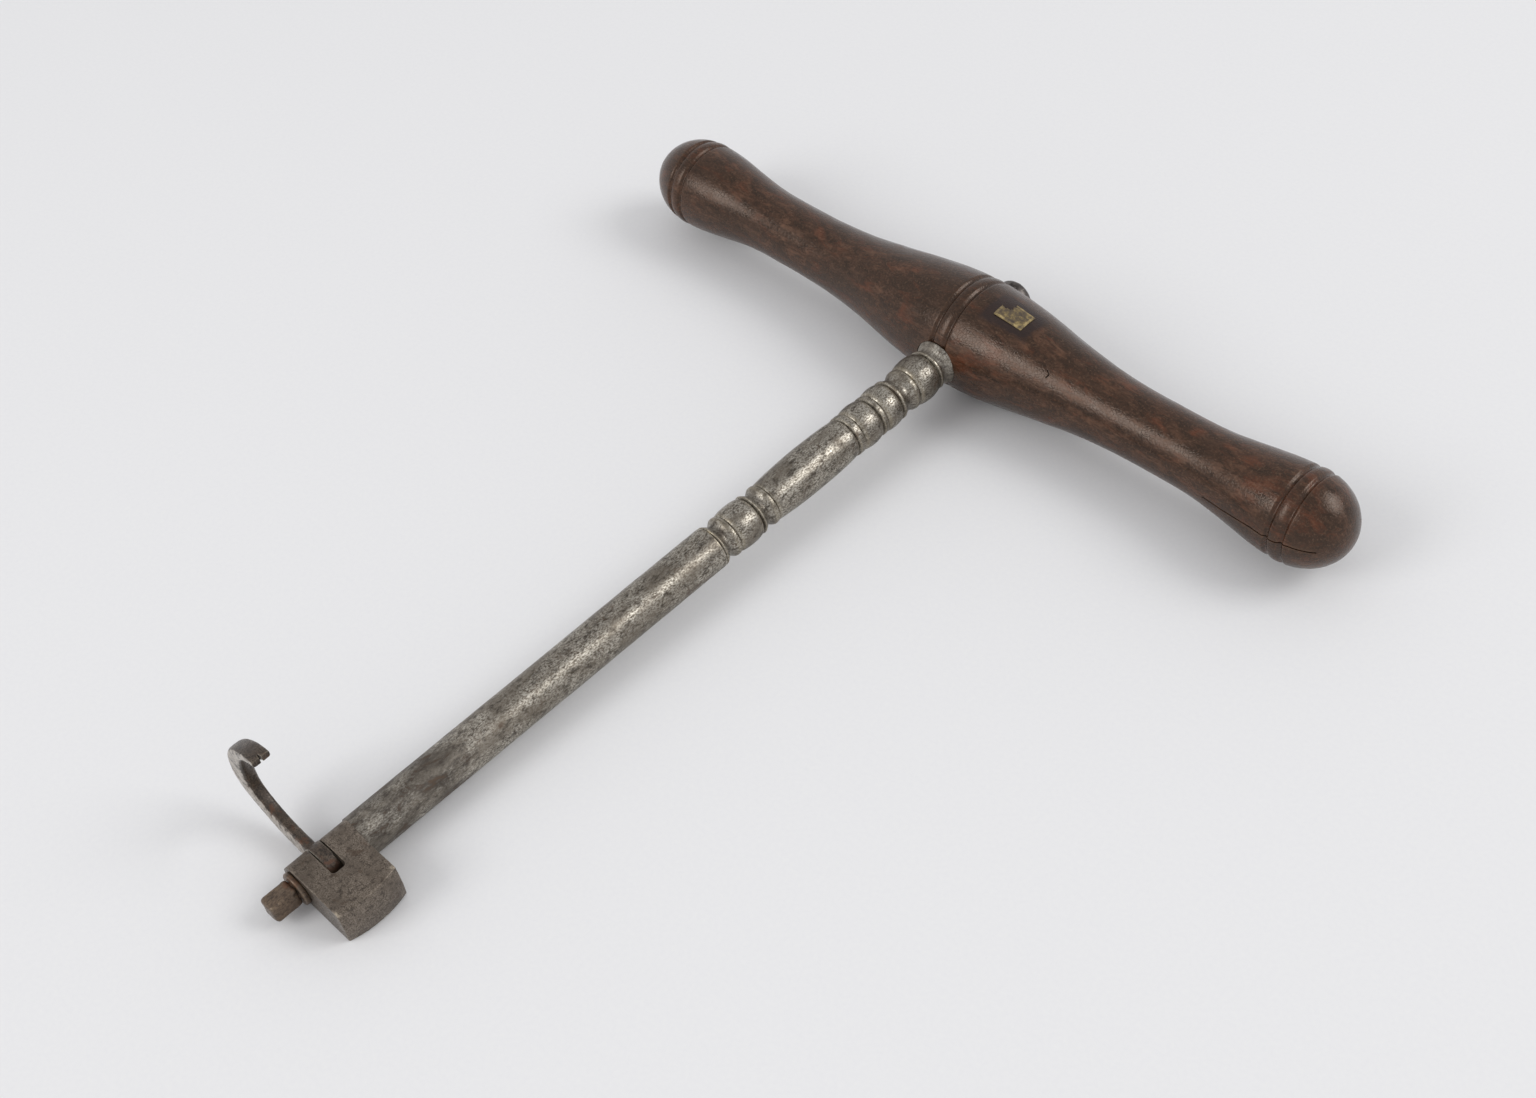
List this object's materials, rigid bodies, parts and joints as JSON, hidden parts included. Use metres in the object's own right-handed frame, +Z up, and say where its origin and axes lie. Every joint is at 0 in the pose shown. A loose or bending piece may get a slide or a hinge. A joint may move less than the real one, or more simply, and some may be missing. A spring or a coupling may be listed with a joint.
{
  "type": "dental key",
  "caption": "Antique dental key: turned hardwood cross handle on a steel stem, with a side bolster pad and a swinging claw on a square-headed screw.",
  "frame": {"origin": "middle of the handle, where the handle's axis and the stem's axis cross", "axes": "+X along the handle towards the side of the bolster's pad, -Y along the stem towards the claw, +Z up from the table"},
  "size_m": [0.123, 0.1328, 0.0252],
  "materials": {
    "handle_wood": "dark polished hardwood, worn to red brown in places",
    "stem_steel": "turned and filed steel with a dull grey-brown patina and bright worn streaks",
    "bolster_steel": "filed steel, evenly darkened grey brown",
    "claw_steel": "hardened steel, dark with rust spots and bright edges",
    "screw_steel": "hand-filed steel, rust brown",
    "nut_iron": "blackened iron with a worn crown",
    "label_brass": "thin tarnished gilt patch, blank"
  },
  "bodies": {
    "key": {"handle": "handle_wood", "stem": "stem_steel", "bolster": "bolster_steel", "tang_nut": "nut_iron", "label": "label_brass"},
    "claw": {"claw": "claw_steel"},
    "screw_collar": {"screw_collar": "screw_steel"},
    "claw_screw": {"claw_screw": "screw_steel"}
  },
  "joints": [
    {"name": "claw_swing", "type": "hinge", "parent": "key", "child": "claw", "pos_m": [0, -0.114, 0], "axis": [0, 1, 0], "range_deg": [0, 115]},
    {"name": "screw_travel", "type": "slide", "parent": "key", "child": "screw_collar", "axis": [0, -1, 0], "range_m": [0, 0.008]},
    {"name": "screw_turn", "type": "hinge", "parent": "screw_collar", "child": "claw_screw", "pos_m": [0, -0.118, 0], "axis": [0, -1, 0], "range_deg": [0, 3600]}
  ],
  "couplings": [
    {"joint": "screw_turn", "follows": "screw_travel", "rad_per_m": 7854}
  ]
}
